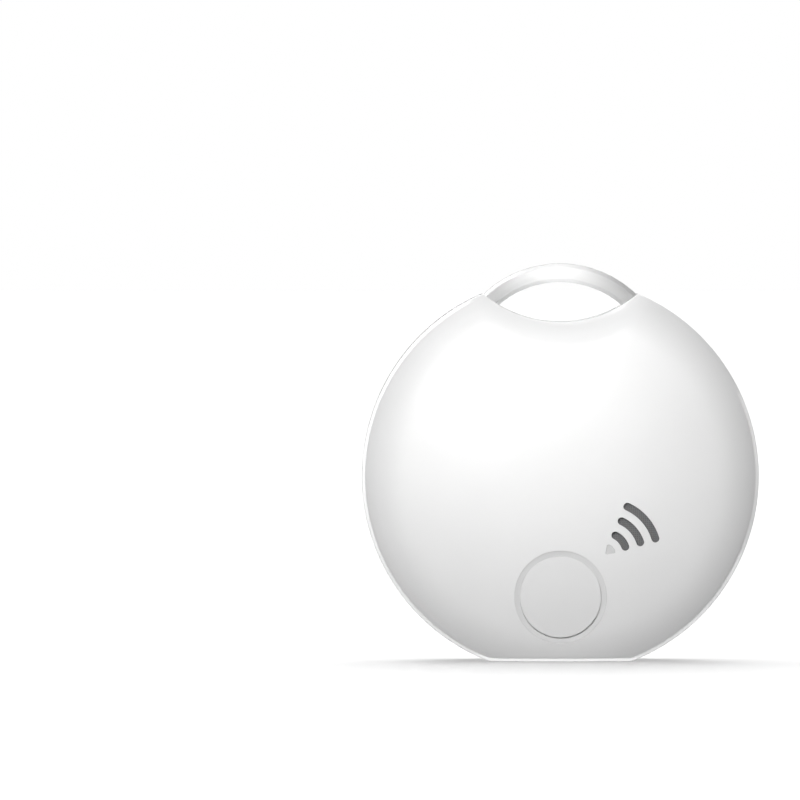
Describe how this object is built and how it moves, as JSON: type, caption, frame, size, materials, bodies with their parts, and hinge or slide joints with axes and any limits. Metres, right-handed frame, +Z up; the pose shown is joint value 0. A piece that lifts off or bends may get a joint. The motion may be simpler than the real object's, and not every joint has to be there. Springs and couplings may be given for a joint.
{
  "type": "bluetooth tracker tag",
  "caption": "Round white tracker tag with a hanging loop, a push button, arc-shaped sound slots, a status light and a coin cell behind a twist-off door.",
  "frame": {"origin": "middle of the base flat that the tag stands on", "axes": "+X to the right seen from the front, +Z up to the loop, the button face looks along -Y"},
  "size_m": [0.045, 0.009, 0.0451],
  "materials": {
    "white_shell": "satin gloss white",
    "white_button": "satin white",
    "silicone": "matt light grey silicone",
    "black_rubber": "matt black",
    "grey_mesh": "dark grey woven mesh",
    "light_window": "frosted light grey",
    "black_plastic": "moulded black",
    "foam": "closed-cell foam",
    "brass": "rolled brass",
    "piezo_ceramic": "silvered ceramic",
    "board": "green solder mask",
    "steel": "brushed nickel-plated steel",
    "spring_steel": "plated spring strip",
    "ceramic_part": "matt ceramic",
    "capacitor_body": "fired brown ceramic",
    "cell_core": "pressed powder",
    "cell_lithium": "lithium foil",
    "gasket_plastic": "translucent polypropylene"
  },
  "bodies": {
    "root": {"front_cover": "white_shell", "rear_cover": "white_shell", "loop_frame": "white_shell", "front_seal": "black_rubber", "rear_seal": "black_rubber", "button_membrane": "silicone", "tactile_switch": "steel", "sound_mesh": "grey_mesh", "sounder_foam_ring": "foam", "sounder_plate": "brass", "sounder_ceramic": "piezo_ceramic", "sounder_contacts": "spring_steel", "light_guide": "light_window", "status_led": "ceramic_part", "main_board": "board", "radio_shield": "steel", "radio_chip": "black_plastic", "chip_antenna": "ceramic_part", "clock_crystal": "steel", "chip_capacitors": "capacitor_body", "housing_screws": "steel", "cell_can": "steel", "cell_gasket": "gasket_plastic", "cell_cap": "steel", "cell_anode": "cell_lithium", "cell_cathode": "cell_core", "cell_holder": "black_plastic", "negative_contact": "spring_steel", "positive_contact": "spring_steel"},
    "button": {"button_cap": "white_button", "switch_plunger": "black_plastic"},
    "door": {"battery_door": "white_shell", "door_o_ring": "black_rubber"}
  },
  "joints": [
    {"name": "button_press", "type": "slide", "parent": "root", "child": "button", "axis": [0, 1, 0], "range_m": [0, 0.00035], "stiffness_N_per_m": 4000},
    {"name": "door_twist", "type": "hinge", "parent": "root", "child": "door", "pos_m": [0, 0.003, 0.021], "axis": [0, 1, 0], "range_deg": [0, 60]}
  ]
}
